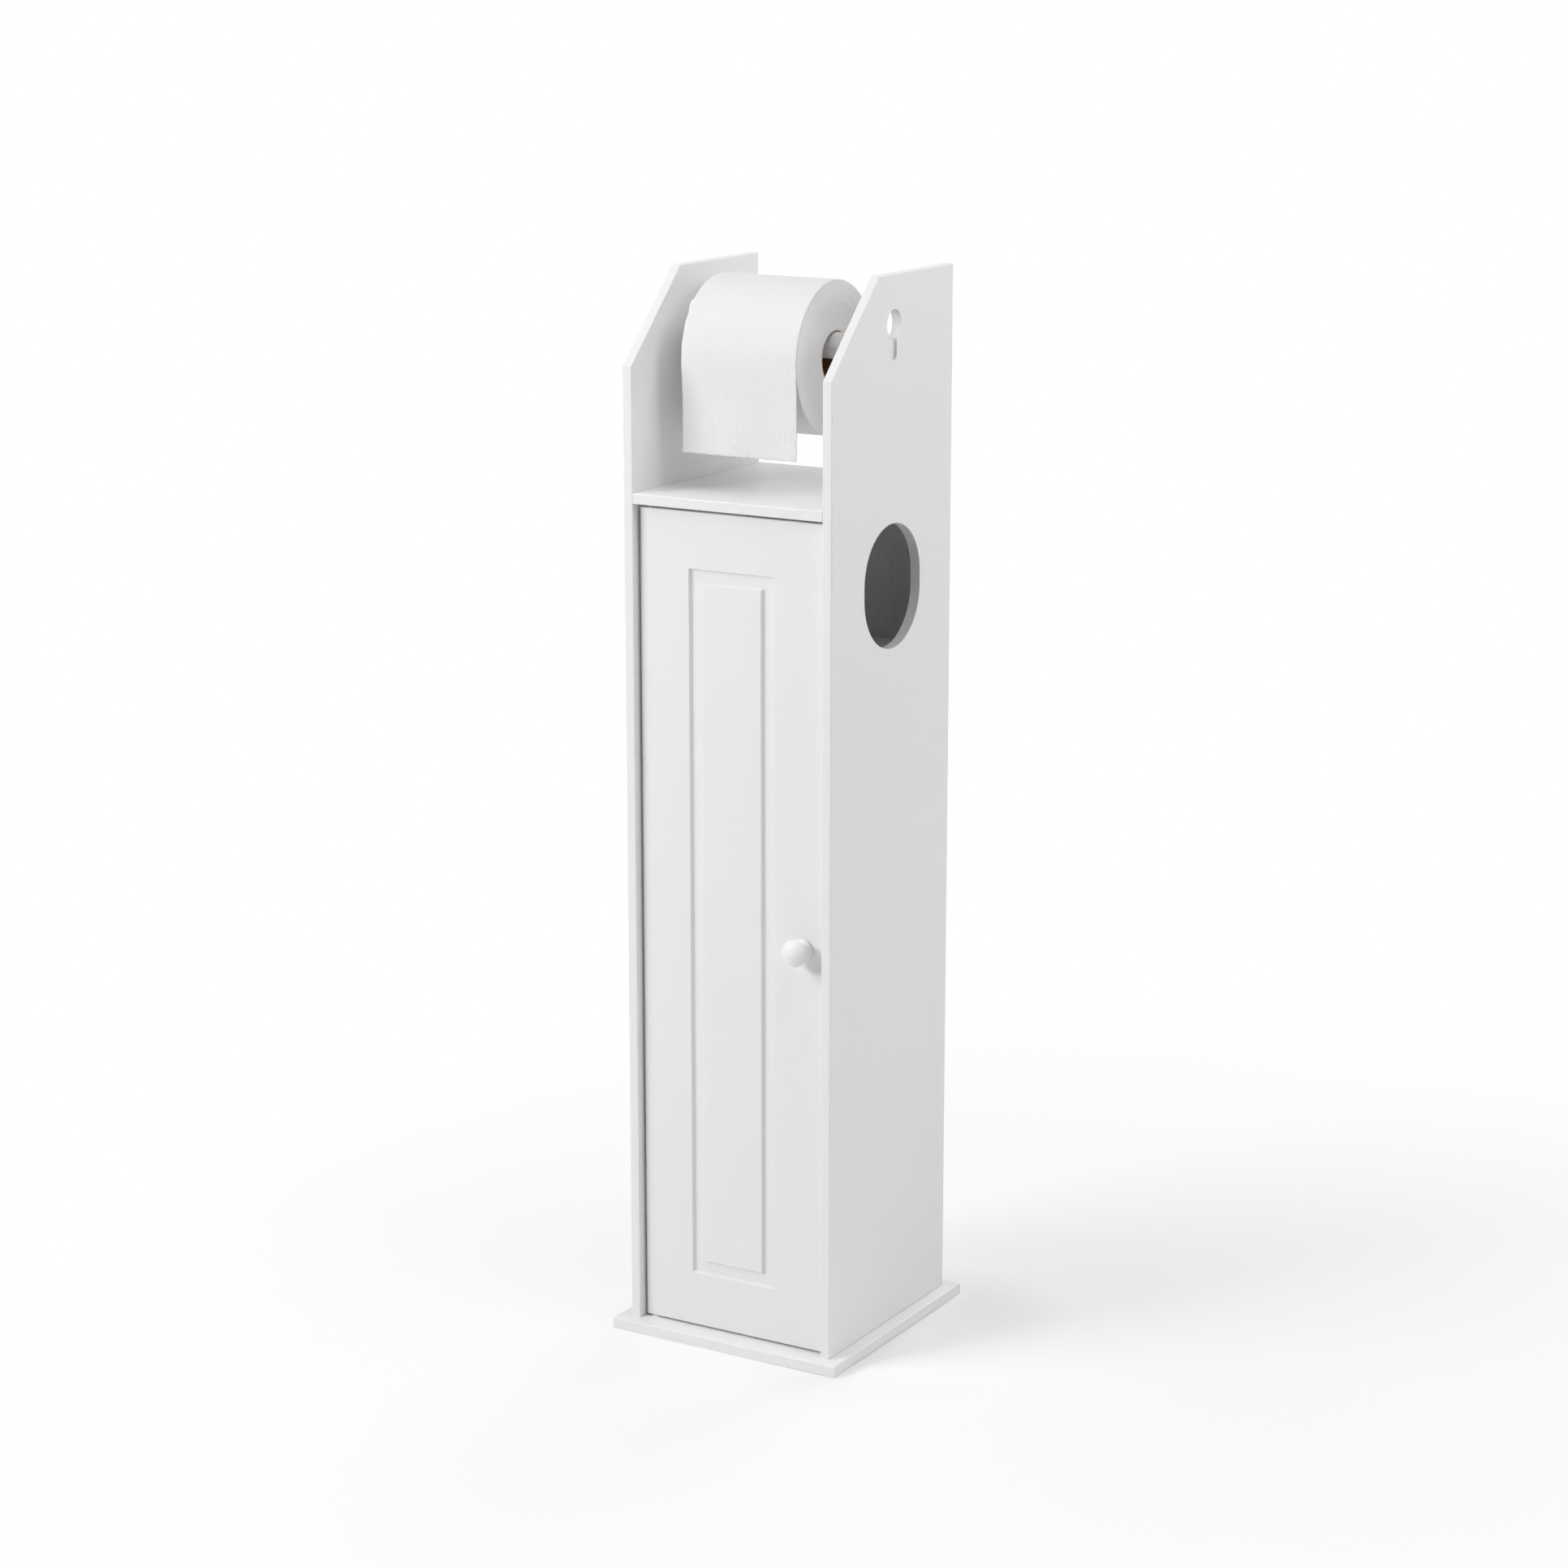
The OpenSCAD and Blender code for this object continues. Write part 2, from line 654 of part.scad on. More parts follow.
module strike_screw() color(steel_colour) {
    at_strike() translate([0, strike_t, 0]) rotate([90, 0, 0]) difference() {
        union() {
            cylinder(d1 = strike_head_d, d2 = catch_screw_d, h = strike_t);
            cylinder(d = catch_screw_d, h = strike_t + strike_screw_grip);
        }
        cross_recess(strike_head_d, strike_t * drive_depth);
    }
}

// ---------- rod and roll ----------

module roll_rod() color(board_colour) translate([0, 0, rod_z]) {
    rotate([0, 90, 0]) rotate_extrude() {
        translate([0, -rod_half]) square([rod_d / 2 - rod_end_r, 2 * rod_half]);
        translate([0, rod_end_r - rod_half]) square([rod_d / 2, 2 * (rod_half - rod_end_r)]);
        for (y = [-1, 1])
            translate([rod_d / 2 - rod_end_r, y * (rod_half - rod_end_r)]) circle(r = rod_end_r);
    }
    for (end = [0, 1]) mirror([end, 0, 0])
        translate([rod_half - cut_over, 0, 0]) obround_x(tongue_w, tongue_h, tongue_len + cut_over);
}

module tube_x(outer_d, inner_d, x0, x1) {
    difference() {
        cylinder_x(outer_d, x0, x1);
        cylinder_x(inner_d, x0 - cut_over, x1 + cut_over);
    }
}

module roll_core() color(card_colour) {
    translate([0, 0, roll_z]) tube_x(core_outer_d, core_d, roll_x0, roll_x0 + roll_w);
}

module paper_roll() color(paper_colour) {
    translate([0, 0, roll_z]) tube_x(roll_d, core_outer_d, roll_x0, roll_x0 + roll_w);
}

// Section of the sheet, seen along the roll: x is the cabinet's y, y is its z, and the roll's
// axis is at the origin. It hangs straight below the roll's front and follows the roll above it.
module sheet_section() {
    end = 180 - sheet_wrap;
    difference() {
        circle(r = sheet_out_r);
        circle(r = sheet_in_r);
        polygon([[0, 0], [far * cos(end), far * sin(end)], [far, far * sin(end)], [far, -far],
                 [-far, -far], [-far, 0]]);
    }
    translate([-sheet_out_r, -sheet_drop]) square([sheet_t, sheet_drop]);
}

// The free end of the paper
module hanging_sheet() color(paper_colour) {
    translate([roll_x0, 0, roll_z]) rotate([90, 0, 90])
        linear_extrude(height = roll_w) sheet_section();
}

base_plate();
left_side_panel();
right_side_panel();
top_shelf();
inner_shelf();
back_panel();
base_screws();
shelf_dowels();
shelf_pegs();
upper_pivot_bush();
lower_pivot_bush();
lower_pivot_washer();
catch_housing();
catch_magnet();
catch_pole_plates();
catch_screws();
door_panel();
upper_pivot_pin();
lower_pivot_pin();
door_knob();
knob_screw();
strike_plate();
strike_screw();
roll_rod();
roll_core();
paper_roll();
hanging_sheet();
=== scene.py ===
"""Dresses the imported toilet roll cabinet: finishes, wound roll, hanging sheet, studio, camera."""

import json
import math

import bpy
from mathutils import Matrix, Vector, noise


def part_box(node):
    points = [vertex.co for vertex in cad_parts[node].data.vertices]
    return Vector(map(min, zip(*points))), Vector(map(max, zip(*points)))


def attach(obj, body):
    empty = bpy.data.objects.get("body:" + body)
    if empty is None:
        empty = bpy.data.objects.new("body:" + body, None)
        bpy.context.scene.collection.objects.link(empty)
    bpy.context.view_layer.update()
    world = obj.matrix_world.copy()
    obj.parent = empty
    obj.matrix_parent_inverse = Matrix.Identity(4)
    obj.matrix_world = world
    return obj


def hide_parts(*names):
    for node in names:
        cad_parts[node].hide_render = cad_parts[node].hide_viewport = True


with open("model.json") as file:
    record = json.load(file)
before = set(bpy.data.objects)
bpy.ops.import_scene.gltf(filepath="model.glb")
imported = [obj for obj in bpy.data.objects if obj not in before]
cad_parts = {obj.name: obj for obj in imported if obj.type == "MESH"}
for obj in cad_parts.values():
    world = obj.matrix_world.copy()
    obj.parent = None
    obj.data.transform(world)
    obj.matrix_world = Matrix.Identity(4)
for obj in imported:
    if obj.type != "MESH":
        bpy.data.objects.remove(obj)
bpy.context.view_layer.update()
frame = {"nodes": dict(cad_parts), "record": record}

# ---------- measures, in metres ----------

MM = 0.001

core_low, core_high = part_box("roll_core")
roll_low, roll_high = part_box("paper_roll")
tail_low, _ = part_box("hanging_sheet")
ROLL_Z = (roll_low.z + roll_high.z) / 2
ROLL_R = (roll_high.z - roll_low.z) / 2
ROLL_W = roll_high.x - roll_low.x
CORE_R = (core_high.z - core_low.z) / 2
PANEL_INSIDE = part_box("right_side_panel")[0].x + 0.3 * MM
BASE_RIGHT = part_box("base_plate")[1].x

# The cut-outs of the side panels. The oval is the lower one, and the keyhole the upper one.
CUTS_FROM, CUTS_TO = 0.515, 0.77  # heights between which there are cut-outs
CUTS_SPLIT = 0.66  # height that parts the oval from the keyhole
OVAL_HALF, KEYHOLE_HALF = 0.046, 0.013  # half their depth, with a little to spare
CUT_SHADE, CUT_DULL = 0.8, 0.2  # painted shade on their walls, as a share of the colour, and added roughness

# The paper
ROW_PITCH, PAD_PITCH = 0.00196, 0.0023  # of the rows of pads, and of the pads in a row
ROW_SHIFT = 0.37  # how far each row's pads are moved on, as a share of their pitch
EMBOSS, CREPE = 0.00032, 0.00015  # height of the pads and of the crepe
LAYER_PITCH = 0.0013  # of the loose layers that show on the roll's end faces
END_RELIEF = 0.00022  # height of the fibres on the end faces
SOFT = 0.5 * MM  # radius of the roll's corners
TAIL_OFF = 0.22 * MM  # how far the middle of the hanging sheet lies off the roll
TAIL_THICK = 0.3 * MM
TAIL_WRAP = math.radians(110)  # from the roll's front over its top
TAIL_MERGE = 14 * MM  # length over which the far end runs into the roll
TEETH_PITCH, TEETH_ROOM = 2.6 * MM, 0.6 * MM  # of the torn perforation

SEAM_PITCH = 0.055  # of the helical seam in the core

# The floor. Its lifts are the share of plain white in it.
SHADOW_AT = (0.19, 0.13)  # middle of the shadow
SHADOW_FROM, SHADOW_TO = 0.05, 0.8  # distances from there over which the lift grows
FLOOR_LIFT = 0.5  # in the middle of the shadow
CONTACT_HALF = 0.05  # half the length of the contact shadow along the base's right edge
CONTACT_TO = 0.11  # distance from it over which the lift comes back
CONTACT_LIFT = 0.08  # share of the lift that is left in it
FLOOR_HALF = 60.0
FLOOR_DROP = 0.0002  # keeps the floor clear of the base's underside

# ---------- materials ----------


class Finish:
    """A node material that is built up one node at a time. Noise scales are in waves a metre."""

    def __init__(self, name):
        self.material = bpy.data.materials.new(name)
        self.material.use_nodes = True
        self.tree = self.material.node_tree
        self.tree.nodes.clear()
        self.shader = self.node("ShaderNodeBsdfPrincipled")
        self.output = self.node("ShaderNodeOutputMaterial")
        self.link(self.shader.outputs["BSDF"], self.output.inputs["Surface"])
        self.place = self.node("ShaderNodeTexCoord").outputs["Object"]

    def node(self, kind, **settings):
        made = self.tree.nodes.new(kind)
        for name, value in settings.items():
            setattr(made, name, value)
        return made

    def link(self, source, target):
        self.tree.links.new(source, target)

    def feed(self, target, value):
        """Sets a socket to a number, a colour or another node's output."""
        if isinstance(value, bpy.types.NodeSocket):
            self.link(value, target)
        else:
            target.default_value = value

    def set(self, **values):
        for name, value in values.items():
            self.feed(self.shader.inputs[name.replace("_", " ")], value)

    def math(self, operation, a, b=0.0):
        made = self.node("ShaderNodeMath", operation=operation)
        self.feed(made.inputs[0], a)
        self.feed(made.inputs[1], b)
        return made.outputs["Value"]

    def add(self, a, b):
        return self.math("ADD", a, b)

    def less(self, a, b):
        return self.math("SUBTRACT", a, b)

    def times(self, a, b):
        return self.math("MULTIPLY", a, b)

    def over(self, a, b):
        return self.math("DIVIDE", a, b)

    def size(self, a):
        return self.math("ABSOLUTE", a)

    def length(self, a, b):
        return self.math("SQRT", self.add(self.times(a, a), self.times(b, b)))

    def wave(self, turns):
        """A cosine that is 1 at every whole turn."""
        return self.math("COSINE", self.times(turns, math.tau))

    def split(self, vector):
        made = self.node("ShaderNodeSeparateXYZ")
        self.link(vector, made.inputs[0])
        return made.outputs["X"], made.outputs["Y"], made.outputs["Z"]

    def join(self, x, y, z):
        made = self.node("ShaderNodeCombineXYZ")
        for socket, value in zip(made.inputs, (x, y, z)):
            self.feed(socket, value)
        return made.outputs[0]

    def facing_sideways(self):
        """1 where the surface faces left or right, and 0 where it runs that way."""
        across, _, _ = self.split(self.node("ShaderNodeNewGeometry").outputs["Normal"])
        return self.size(across)

    def attribute(self, name):
        return self.node("ShaderNodeAttribute", attribute_name=name).outputs["Fac"]

    def noise(self, vector, scale, detail, roughness=0.5):
        made = self.node("ShaderNodeTexNoise")
        self.link(vector, made.inputs["Vector"])
        made.inputs["Scale"].default_value = scale
        made.inputs["Detail"].default_value = detail
        made.inputs["Roughness"].default_value = roughness
        return made.outputs["Fac"]

    def streaks(self, vector, scales, detail, scale=1):
        """Noise with a scale of its own along each axis."""
        made = self.node("ShaderNodeMapping")
        self.link(vector, made.inputs["Vector"])
        made.inputs["Scale"].default_value = scales
        return self.noise(made.outputs[0], scale, detail)

    def ramp(self, value, low, high, to_low, to_high):
        made = self.node("ShaderNodeMapRange", clamp=True)
        for name, number in (
            ("Value", value),
            ("From Min", low),
            ("From Max", high),
            ("To Min", to_low),
            ("To Max", to_high),
        ):
            self.feed(made.inputs[name], number)
        return made.outputs[0]

    def stretch(self, noisy, to_low=0, to_high=1):
        """Noise keeps to the middle of its range, and this spreads it out."""
        return self.ramp(noisy, 0.3, 0.7, to_low, to_high)

    def mix(self, share, a, b):
        made = self.node("ShaderNodeMix", data_type="RGBA")
        self.feed(made.inputs["Factor"], share)
        for name, colour in (("A", a), ("B", b)):
            socket = [s for s in made.inputs if s.name == name and s.type == "RGBA"][0]
            linked = isinstance(colour, bpy.types.NodeSocket)
            self.feed(socket, colour if linked else (*colour, 1))
        return [s for s in made.outputs if s.type == "RGBA"][0]

    def bump(self, height, distance, after=None):
        made = self.node("ShaderNodeBump")
        self.link(height, made.inputs["Height"])
        made.inputs["Distance"].default_value = distance
        if after is not None:
            self.link(after, made.inputs["Normal"])
        self.link(made.outputs[0], self.shader.inputs["Normal"])
        return made.outputs[0]


def looked_at(tree):
    """1 for the rays that see a surface, straight or by reflection or through glass."""
    rays = tree.nodes.new("ShaderNodeLightPath").outputs
    seen = rays["Is Camera Ray"]
    for other in ("Is Glossy Ray", "Is Transmission Ray"):
        either = tree.nodes.new("ShaderNodeMath")
        either.operation = "MAXIMUM"
        tree.links.new(seen, either.inputs[0])
        tree.links.new(rays[other], either.inputs[1])
        seen = either.outputs["Value"]
    return seen


def cut_walls(f):
    """1 on the routed walls of the oval and the keyholes, and 0 elsewhere."""
    x, y, z = f.split(f.place)
    half = f.ramp(z, CUTS_SPLIT, CUTS_SPLIT + MM, OVAL_HALF, KEYHOLE_HALF)
    within = f.math("LESS_THAN", f.facing_sideways(), 0.5)
    for test in (
        f.math("GREATER_THAN", f.size(x), PANEL_INSIDE),
        f.math("LESS_THAN", f.size(y), half),
        f.math("GREATER_THAN", z, CUTS_FROM),
        f.math("LESS_THAN", z, CUTS_TO),
    ):
        within = f.times(within, test)
    return within


def lacquer(name, colour, shade, rough, orange_peel, cut=False):
    """Sprayed lacquer: a faint ripple, finer dust, and a tone that drifts over a hand's width.
    Where a board is cut through, it drinks the lacquer and is duller, and painted shade makes it
    darker."""
    f = Finish(name)
    tone = f.mix(f.stretch(f.noise(f.place, 9, 3)), shade, colour)
    gloss = f.stretch(f.noise(f.place, 60, 3), rough - 0.04, rough + 0.04)
    if cut:
        shaded_dull_walls = cut_walls(f)
        # painted shade: the walls of the cut-outs keep only part of the colour, as shade falls in
        # them
        tone = f.mix(shaded_dull_walls, tone, [CUT_SHADE * c for c in colour])
        gloss = f.add(gloss, f.times(shaded_dull_walls, CUT_DULL))
    f.set(Base_Color=tone, Roughness=gloss)
    ripple = f.bump(f.noise(f.place, 260, 1), orange_peel)
    f.bump(f.noise(f.place, 700, 2), orange_peel * 0.25, after=ripple)
    return f.material


def steel():
    """Zinc plated steel with a fine grain that lies level."""
    f = Finish("zinc_steel")
    colour = (0.62, 0.63, 0.66)
    grain = f.streaks(f.place, (1, 1, 8), 2, scale=900)
    f.set(Metallic=1.0)
    f.set(Base_Color=f.mix(f.noise(f.place, 400, 3), [0.85 * c for c in colour], colour))
    f.set(Roughness=f.stretch(grain, 0.26, 0.4))
    f.bump(grain, 0.00001)
    return f.material


def nylon():
    f = Finish("white_nylon")
    f.set(Base_Color=f.mix(f.noise(f.place, 90, 2), (0.76, 0.76, 0.73), (0.82, 0.82, 0.8)))
    f.set(Roughness=f.stretch(f.noise(f.place, 500, 2), 0.38, 0.5))
    f.bump(f.noise(f.place, 1500, 2), 0.00002)
    return f.material


def beech():
    f = Finish("beech")
    grain = f.streaks(f.place, (40, 600, 600), 4)
    f.set(Base_Color=f.mix(f.ramp(grain, 0.35, 0.65, 0, 1), (0.46, 0.3, 0.16), (0.62, 0.45, 0.27)))
    f.set(Roughness=0.6)
    f.bump(grain, 0.00005)
    return f.material


def ferrite():
    f = Finish("ferrite")
    grit = f.noise(f.place, 1800, 3)
    f.set(Base_Color=f.mix(grit, (0.03, 0.03, 0.034), (0.07, 0.07, 0.075)))
    f.set(Roughness=0.75)
    f.bump(grit, 0.00003)
    return f.material


def hardboard():
    """The coated side of a thin back panel: flat, duller than lacquer, with a faint fibre."""
    f = Finish("back_board")
    fibre = f.streaks(f.place, (260, 1, 90), 4)
    f.set(Base_Color=f.mix(f.stretch(fibre), (0.66, 0.66, 0.665), (0.72, 0.72, 0.725)))
    f.set(Roughness=0.62)
    f.bump(fibre, 0.00003)
    return f.material


def cardboard():
    """A wound core: dark brown fibre with a helical seam round it, and a paler line round the cut
    rim, where the board meets the paper."""
    f = Finish("cardboard")
    x, y, z = f.split(f.place)
    up = f.less(z, ROLL_Z)
    turn = f.over(f.math("ARCTAN2", y, up), math.tau)
    helix = f.math("FRACT", f.add(f.over(x, SEAM_PITCH), turn))
    seam = f.ramp(f.size(f.less(helix, 0.5)), 0.0, 0.012, 1, 0)
    fibre = f.streaks(f.place, (300, 900, 900), 4)
    bore = f.mix(f.stretch(fibre), (0.11, 0.052, 0.027), (0.2, 0.1, 0.054))
    bore = f.mix(f.times(seam, 0.7), bore, (0.035, 0.02, 0.01))
    outermost = f.ramp(f.length(y, up), CORE_R - 0.8 * MM, CORE_R - 0.3 * MM, 0, 1)
    cut = f.mix(outermost, (0.15, 0.09, 0.055), (0.6, 0.45, 0.34))
    rim = f.ramp(f.facing_sideways(), 0.4, 0.6, 0, 1)
    f.set(Base_Color=f.mix(rim, bore, cut))
    f.set(Roughness=0.85)
    pressed = f.bump(f.less(1.0, seam), 0.0002)
    f.bump(fibre, 0.00008, after=pressed)
    return f.material


def tissue():
    """Embossed tissue. Rows of uneven pads run along the paper, and fine crepe lies across them.
    The roll's end faces show the edges of the wound layers, with painted shade between them
    and in a darker band halfway out."""
    f = Finish("tissue_paper")
    x, y, z = f.split(f.place)
    along = f.attribute("along")
    on_end = f.attribute("end_face")

    flat = f.join(x, along, 0.0)
    waver = f.times(f.streaks(flat, (70, 40, 1), 1), 0.0008)
    across = f.over(f.add(x, waver), ROW_PITCH)
    row = f.ramp(f.wave(across), -1, 1, 0, 1)
    shift = f.times(f.math("FLOOR", across), ROW_SHIFT)
    pad = f.ramp(f.wave(f.add(f.over(along, PAD_PITCH), shift)), -1, 1, 0.3, 1)
    blob = f.ramp(f.streaks(flat, (520, 430, 1), 1), 0.35, 0.65, 0.4, 1.4)
    strength = f.ramp(f.streaks(flat, (34, 22, 1), 2), 0.35, 0.65, 0.4, 1)
    strength = f.times(strength, f.ramp(along, 0.05, 0.14, 0.1, 1))
    pressed = f.times(f.times(row, pad), f.times(blob, strength))
    crepe = f.streaks(flat, (520, 1500, 1), 3)
    height = f.add(f.times(pressed, EMBOSS), f.times(crepe, CREPE))
    # painted shade: the pads' relief is also painted lighter and darker in the colour
    swing = f.times(f.less(row, 0.5), f.times(strength, pad))
    relief_shade = f.ramp(swing, -0.4, 0.4, 0, 1)
    shaded_sheet_tone = f.mix(relief_shade, (0.795, 0.792, 0.79), (0.905, 0.903, 0.902))

    up = f.less(z, ROLL_Z)
    radius = f.length(y, up)
    turn = f.over(f.math("ARCTAN2", y, up), math.tau)
    wound = f.add(radius, f.times(turn, LAYER_PITCH))
    fibres = f.noise(f.join(f.times(wound, 1500), f.times(turn, 3), 0.0), 1, 3, 0.7)
    patches = f.ramp(f.noise(f.place, 60, 1), 0.4, 0.6, 0.1, 1)
    loose = f.times(f.ramp(radius, 0.021, 0.036, 1, 0), patches)
    # painted shade: darker rings in the gaps between the loose layers
    layer_gap_shade = f.times(f.ramp(f.wave(f.over(wound, LAYER_PITCH)), 0.2, 1, 0, 1), loose)
    # painted shade: a darker band halfway out, as a slightly dished end face would have
    dish_shade = f.ramp(f.size(f.less(radius, 0.037)), 0, 0.013, 1, 0)
    shaded_end_tone = f.mix(dish_shade, (0.815, 0.812, 0.81), (0.765, 0.762, 0.76))
    shaded_end_tone = f.mix(f.times(layer_gap_shade, 0.5), shaded_end_tone, (0.66, 0.65, 0.645))

    f.set(Base_Color=f.mix(on_end, shaded_sheet_tone, shaded_end_tone))
    f.set(Roughness=0.92, Specular_IOR_Level=0.2, Sheen_Weight=0.12, Sheen_Roughness=0.6)
    relief = f.node("ShaderNodeMix", data_type="FLOAT")
    f.feed(relief.inputs["Factor"], on_end)
    f.feed(relief.inputs[2], height)
    f.feed(relief.inputs[3], f.times(fibres, END_RELIEF))
    f.bump(relief.outputs[0], 1.0)  # the heights are in metres already
    return f.material


def ground():
    """A white floor that keeps the object's shadow, above all beside the base's right edge, and
    fades to plain white further off."""
    f = Finish("floor_white")
    f.tree.nodes.remove(f.shader)
    diffuse = f.node("ShaderNodeBsdfDiffuse")
    tone = f.mix(f.noise(f.place, 3, 2), (0.885, 0.885, 0.888), (0.895, 0.895, 0.898))
    f.feed(diffuse.inputs["Color"], tone)
    plain = f.node("ShaderNodeEmission")
    x, y, _ = f.split(f.place)
    away = f.length(f.less(x, SHADOW_AT[0]), f.less(y, SHADOW_AT[1]))
    lift = f.ramp(away, SHADOW_FROM, SHADOW_TO, FLOOR_LIFT, 1.0)
    past_end = f.math("MAXIMUM", f.less(f.size(y), CONTACT_HALF), 0.0)
    near = f.length(f.size(f.less(x, BASE_RIGHT)), past_end)
    lift = f.times(lift, f.ramp(near, 0.0, CONTACT_TO, CONTACT_LIFT, 1.0))
    blend = f.node("ShaderNodeMixShader")
    f.feed(blend.inputs[0], f.times(looked_at(f.tree), lift))
    f.link(diffuse.outputs[0], blend.inputs[1])
    f.link(plain.outputs[0], blend.inputs[2])
    f.link(blend.outputs[0], f.output.inputs["Surface"])
    return f.material


# ---------- meshes ----------


def mesh_piece(name, verts, faces, smooth=True):
    mesh = bpy.data.meshes.new(name)
    mesh.from_pydata(verts, [], faces)
    mesh.validate()
    for p in mesh.polygons:
        p.use_smooth = smooth
    piece = bpy.data.objects.new(name, mesh)
    bpy.context.scene.collection.objects.link(piece)
    return piece


def point_values(piece, name, values):
    attribute = piece.data.attributes.new(name, "FLOAT", "POINT")
    attribute.data.foreach_set("value", values)


def wander(*at):
    """Smooth noise from -1 to 1."""
    return noise.noise(Vector(at))


def wound_roll():
    """The roll of paper, turned from a profile whose corners are soft and whose end faces are
    slightly uneven, as wound layers are."""
    turns, rings, bends, steps = 192, 30, 6, 40
    # A profile's points are (x from the left end, radius, how far it counts as an end face).
    face = [(0.0, CORE_R + (ROLL_R - SOFT - CORE_R) * i / rings, 1.0) for i in range(rings + 1)]
    for i in range(1, bends):
        a = math.pi / 2 * i / bends
        x, r = SOFT * (1 - math.cos(a)), ROLL_R - SOFT + SOFT * math.sin(a)
        face.append((x, r, 0.35 if i < bends / 2 else 0.0))
    outside = [(SOFT + (ROLL_W - 2 * SOFT) * i / steps, ROLL_R, 0.0) for i in range(steps + 1)]
    profile = face + outside + [(ROLL_W - x, r, e) for x, r, e in reversed(face)]

    verts, along, ends = [], [], []
    for k in range(turns):
        a = math.tau * k / turns
        for x, r, e in profile:
            if e == 1.0:
                side = 1 if x < ROLL_W / 2 else -1
                from_core = min(1.0, (r - CORE_R) / (4 * MM))
                from_rim = min(1.0, (ROLL_R - SOFT - r) / (3 * MM))
                sunk = 0.22 + 0.2 * wander(r * 260, side * 5, 0.4 * math.sin(a))
                x += side * (from_core * from_rim) * sunk * MM
            dent = 0.5 + 0.5 * wander(math.cos(a) * 2.2, math.sin(a) * 2.2, x * 30)
            r -= 0.18 * MM * dent * min(1.0, r / ROLL_R) ** 6
            verts.append((roll_low.x + x, r * math.sin(a), ROLL_Z + r * math.cos(a)))
            along.append(a * ROLL_R)
            ends.append(e)
    n = len(profile)
    faces = []
    for k in range(turns):
        a, b = k * n, (k + 1) % turns * n
        for i in range(n):
            j = (i + 1) % n
            faces.append((a + i, a + j, b + j, b + i))
    piece = mesh_piece("wound_roll", verts, faces)
    point_values(piece, "along", along)
    point_values(piece, "end_face", ends)
    return piece


def hanging_tail():
    """The free end of the paper: it follows the roll, hangs from its front, keeps a little of the
    roll's curl and ends in a torn perforation."""
    across, down = 150, 150
    radius = ROLL_R + TAIL_OFF
    drop = ROLL_Z - tail_low.z - TEETH_ROOM
    arc = radius * TAIL_WRAP
    length = arc + drop
    verts, along = [], []
    for j in range(down + 1):
        s = length * j / down
        for i in range(across + 1):
            x = ROLL_W * (i / across)
            to_side = abs(2 * i / across - 1)
            if s < arc:
                a = TAIL_WRAP - s / radius  # from the front, over the top
                r = radius - 0.6 * MM * max(0.0, 1 - s / TAIL_MERGE) ** 2
                r -= 0.25 * MM * to_side**60  # its side edges run into the roll too
                y, z = -r * math.cos(a), ROLL_Z + r * math.sin(a)
            else:
                t = (s - arc) / drop
                y, z = -radius, ROLL_Z - (s - arc)
                back = min(1.0, t / 0.5)
                curl = 1.4 * back * back * (3 - 2 * back) - 0.3 * t**3
                y += (curl + 0.35 * t * wander(x * 28, t * 2.3, 3.0)) * MM
                y += 0.35 * t * math.sin(x * 95 + 1.0) * MM
                if j == down:
                    beat = math.tau * x / TEETH_PITCH + 2.2 * wander(x * 400, 1.0, 7.0)
                    tooth = 0.5 + 0.5 * math.cos(beat)
                    z += (0.75 * tooth + 0.45 * wander(x * 210, 9.0, 2.0) - 0.2) * MM
            rim = to_side**8 * (1 if i > across / 2 else -1)
            x += rim * 0.25 * MM * (wander(s * 130, rim, 4.0) - 0.4)
            verts.append((roll_low.x + x, y, z))
            along.append(s)
    n = across + 1
    faces = [
        (j * n + i, (j + 1) * n + i, (j + 1) * n + i + 1, j * n + i + 1)
        for j in range(down)
        for i in range(across)
    ]
    piece = mesh_piece("paper_tail", verts, faces)
    point_values(piece, "along", along)
    thick = piece.modifiers.new("thickness", "SOLIDIFY")
    thick.thickness, thick.offset = TAIL_THICK, 0
    return piece, (ROLL_W, length)


# ---------- finishes on the CAD nodes ----------

finishes = {
    "white_board": lacquer(
        "white_board", (0.85, 0.847, 0.85), (0.843, 0.839, 0.843), 0.42, 0.000012, cut=True
    ),
    "back_board": hardboard(),
    "white_knob": lacquer("white_knob", (0.86, 0.857, 0.86), (0.85, 0.847, 0.85), 0.5, 0.00001),
    "white_rod": lacquer("white_rod", (0.84, 0.838, 0.838), (0.825, 0.822, 0.822), 0.4, 0.00004),
    "zinc_steel": steel(),
    "white_nylon": nylon(),
    "beech": beech(),
    "ferrite": ferrite(),
    "cardboard": cardboard(),
    "tissue_paper": tissue(),
}
for part in frame["record"]["subparts"]:
    node = frame["nodes"][part["node"]]
    node.data.materials.clear()
    node.data.materials.append(finishes[part["material_slot"]])

roll = wound_roll()
roll.data.materials.append(finishes["tissue_paper"])
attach(roll, "roll")
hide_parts("paper_roll")

tail, tail_flat = hanging_tail()
tail.data.materials.append(finishes["tissue_paper"])
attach(tail, "rod")
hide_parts("hanging_sheet")

# ---------- studio ----------

floor = mesh_piece(
    "floor",
    [(FLOOR_HALF * x, FLOOR_HALF * y, 0) for x, y in ((-1, -1), (1, -1), (1, 1), (-1, 1))],
    [(0, 1, 2, 3)],
    smooth=False,
)
floor.location.z = -FLOOR_DROP
floor.data.materials.append(ground())

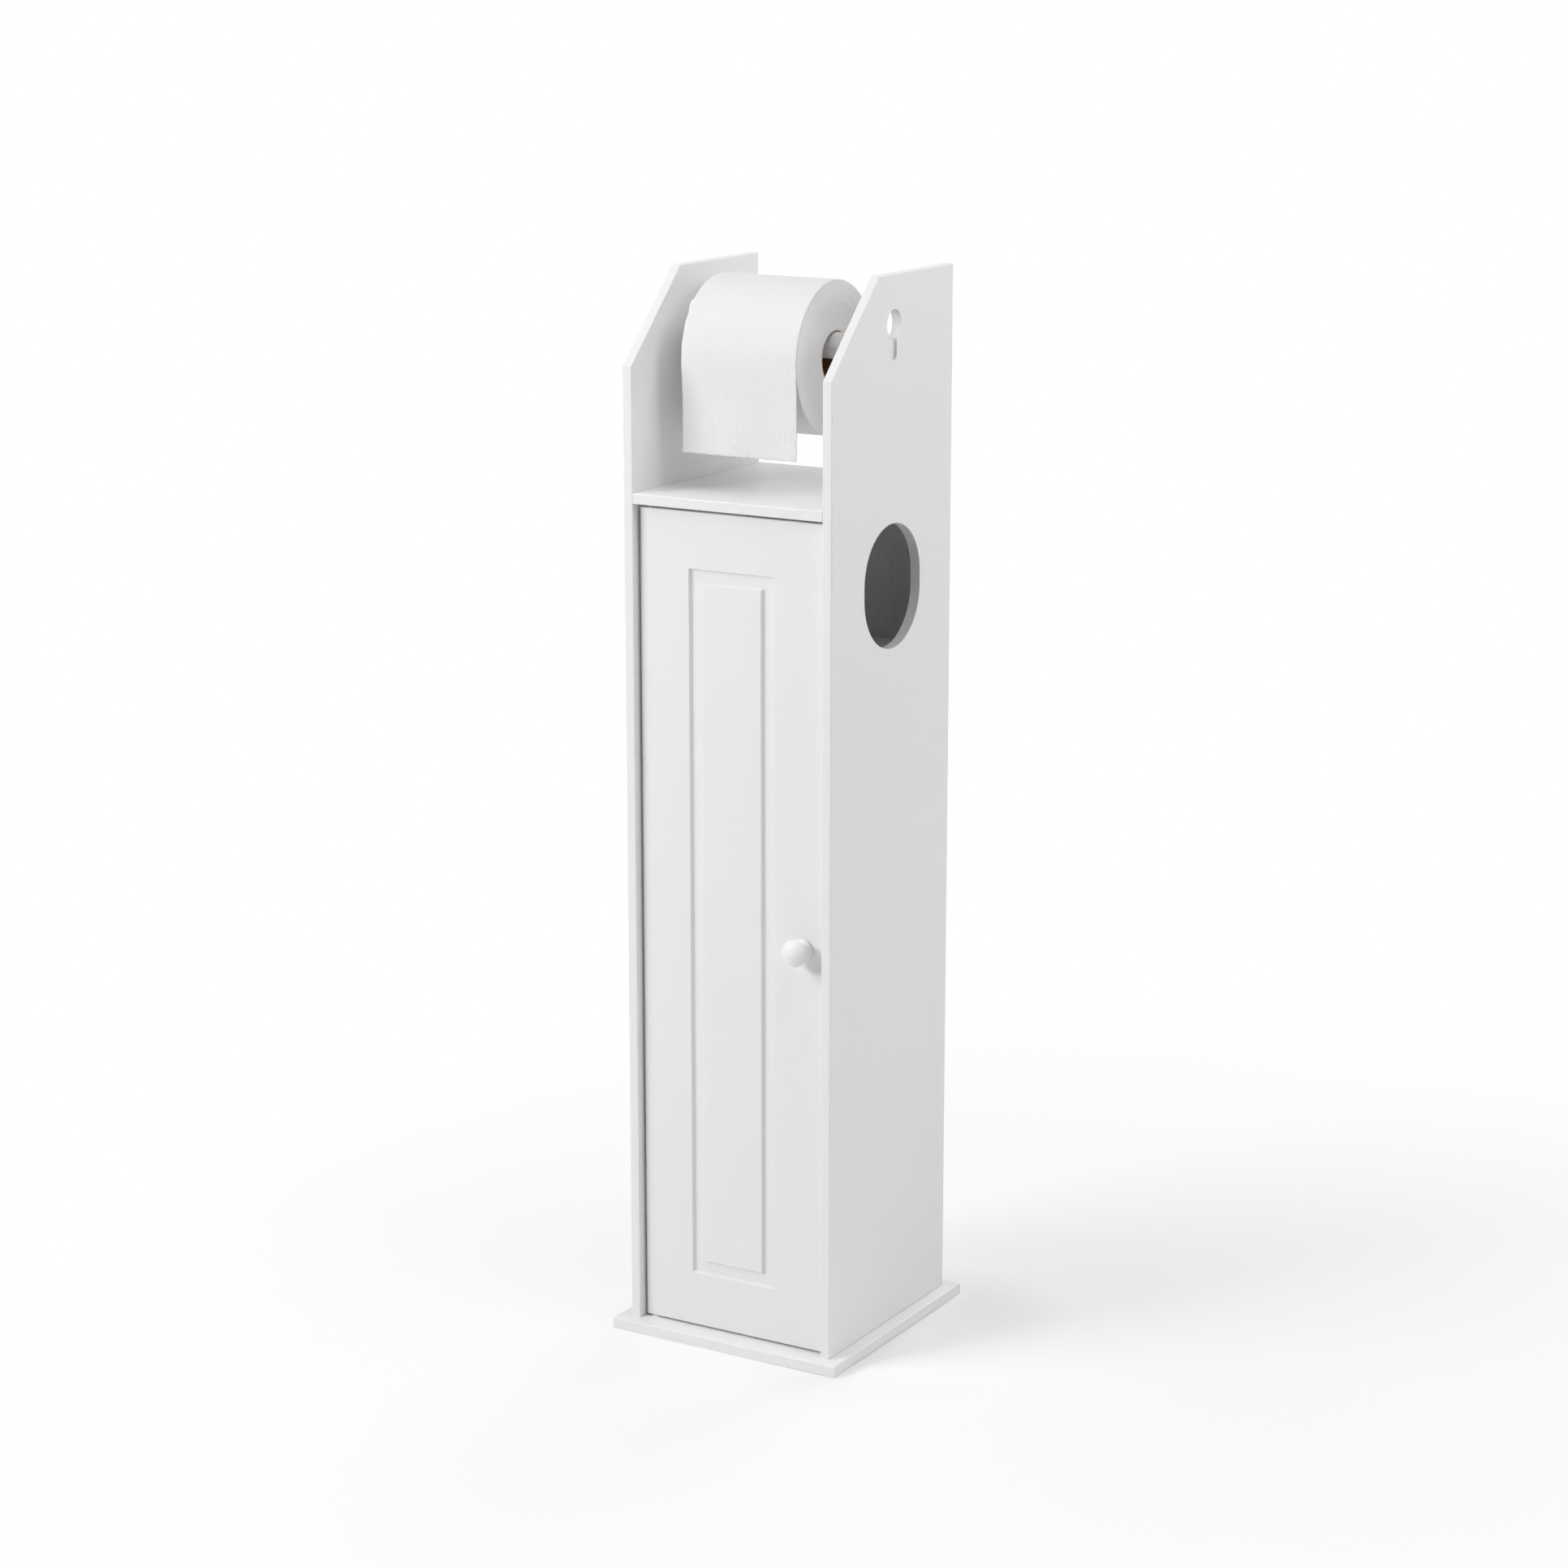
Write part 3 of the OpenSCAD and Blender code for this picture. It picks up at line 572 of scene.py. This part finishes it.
# The world is plain white to look at and gives no light.
world = bpy.data.worlds.new("studio")
bpy.context.scene.world = world
world.use_nodes = True
world.node_tree.nodes.clear()
backdrop = world.node_tree.nodes.new("ShaderNodeBackground")
backdrop.inputs["Color"].default_value = (1, 1, 1, 1)
surface = world.node_tree.nodes.new("ShaderNodeOutputWorld").inputs["Surface"]
world.node_tree.links.new(looked_at(world.node_tree), backdrop.inputs["Strength"])
world.node_tree.links.new(backdrop.outputs[0], surface)

LAMP_AIM, LAMP_DISTANCE = Vector((0, 0, 0.4)), 3.0


def lamp(name, azimuth, elevation, size, power):
    """A round lamp that looks at the object. Azimuth 0 is in front and 90 to the right."""
    a, e = math.radians(azimuth), math.radians(elevation)
    way = Vector((math.sin(a) * math.cos(e), -math.cos(a) * math.cos(e), math.sin(e)))
    light = bpy.data.lights.new(name, "AREA")
    light.shape, light.size, light.energy = "DISK", size, power
    made = bpy.data.objects.new(name, light)
    made.location = LAMP_AIM + way * LAMP_DISTANCE
    made.rotation_mode = "QUATERNION"
    made.rotation_quaternion = (-way).to_track_quat("-Z", "Y")
    bpy.context.scene.collection.objects.link(made)


lamp("key", -30, 22, 0.7, 28.5)
lamp("key_left", -45, 22, 0.7, 9.5)
lamp("key_high", -45, 38, 1.4, 27.4)
lamp("left_high", -90, 60, 1.4, 3.4)
lamp("front_right", 50, 22, 1.0, 2.0)
lamp("right", 85, 38, 1.4, 17.2)
lamp("right_low", 85, 12, 1.4, 1.2)
lamp("right_high", 90, 60, 1.4, 10.4)
lamp("right_front", 45, 60, 1.4, 10.5)
lamp("right_back", 125, 12, 1.4, 14.3)
lamp("back_low", 180, 12, 1.4, 36.4)
lamp("back", 180, 38, 1.4, 11.4)
lamp("back_high", 180, 60, 1.4, 2.3)
lamp("top", 0, 88, 1.4, 3.5)

bpy.context.scene.view_settings.view_transform = "Standard"

# ---------- camera ----------

CAMERA_AT = Vector((1.32841, -2.25328, 1.04027))
YAW, PITCH = math.radians(30.604), math.radians(13.556)
camera = bpy.data.objects.new("camera", bpy.data.cameras.new("camera"))
camera.data.lens, camera.data.sensor_width = 84.55, 36.0
camera.data.clip_start, camera.data.clip_end = 0.05, 200
camera.location = CAMERA_AT
camera.rotation_mode = "QUATERNION"
back = Vector((math.sin(YAW) * math.cos(PITCH), -math.cos(YAW) * math.cos(PITCH), math.sin(PITCH)))
camera.rotation_quaternion = (-back).to_track_quat("-Z", "Y")
bpy.context.scene.collection.objects.link(camera)
bpy.context.scene.camera = camera
